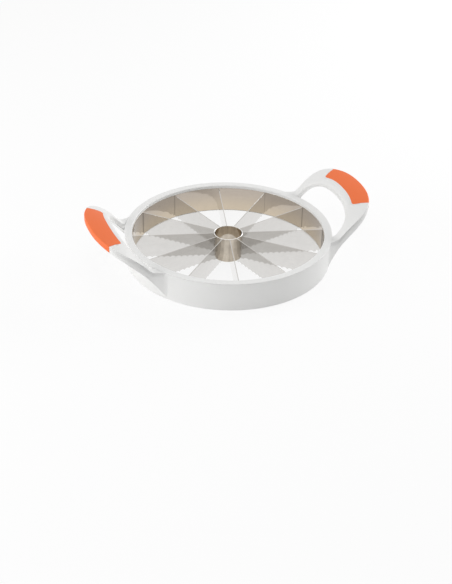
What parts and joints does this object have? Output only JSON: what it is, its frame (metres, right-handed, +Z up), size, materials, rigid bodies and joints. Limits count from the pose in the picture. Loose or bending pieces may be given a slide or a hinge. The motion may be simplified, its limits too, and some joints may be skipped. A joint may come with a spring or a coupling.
{
  "type": "melon slicer",
  "caption": "Round push-down melon slicer: white ring frame with two raised loop handles and orange grips, radial serrated steel blades and a steel core tube.",
  "frame": {"origin": "on the ring's axis at the ring's bottom face", "axes": "+X through the middle of both handles, +Z up along the ring's axis"},
  "size_m": [0.2896, 0.21, 0.0612],
  "materials": {
    "white_plastic": "satin",
    "steel": "polished",
    "orange_grip": "matte"
  },
  "bodies": {
    "root": {"upper_shell": "white_plastic", "lower_shell": "white_plastic", "blade_band": "steel", "core_tube": "steel", "blade_01": "steel", "blade_02": "steel", "blade_03": "steel", "blade_04": "steel", "blade_05": "steel", "blade_06": "steel", "blade_07": "steel", "blade_08": "steel", "blade_09": "steel", "blade_10": "steel", "blade_11": "steel", "blade_12": "steel", "right_grip": "orange_grip", "left_grip": "orange_grip"}
  },
  "joints": []
}
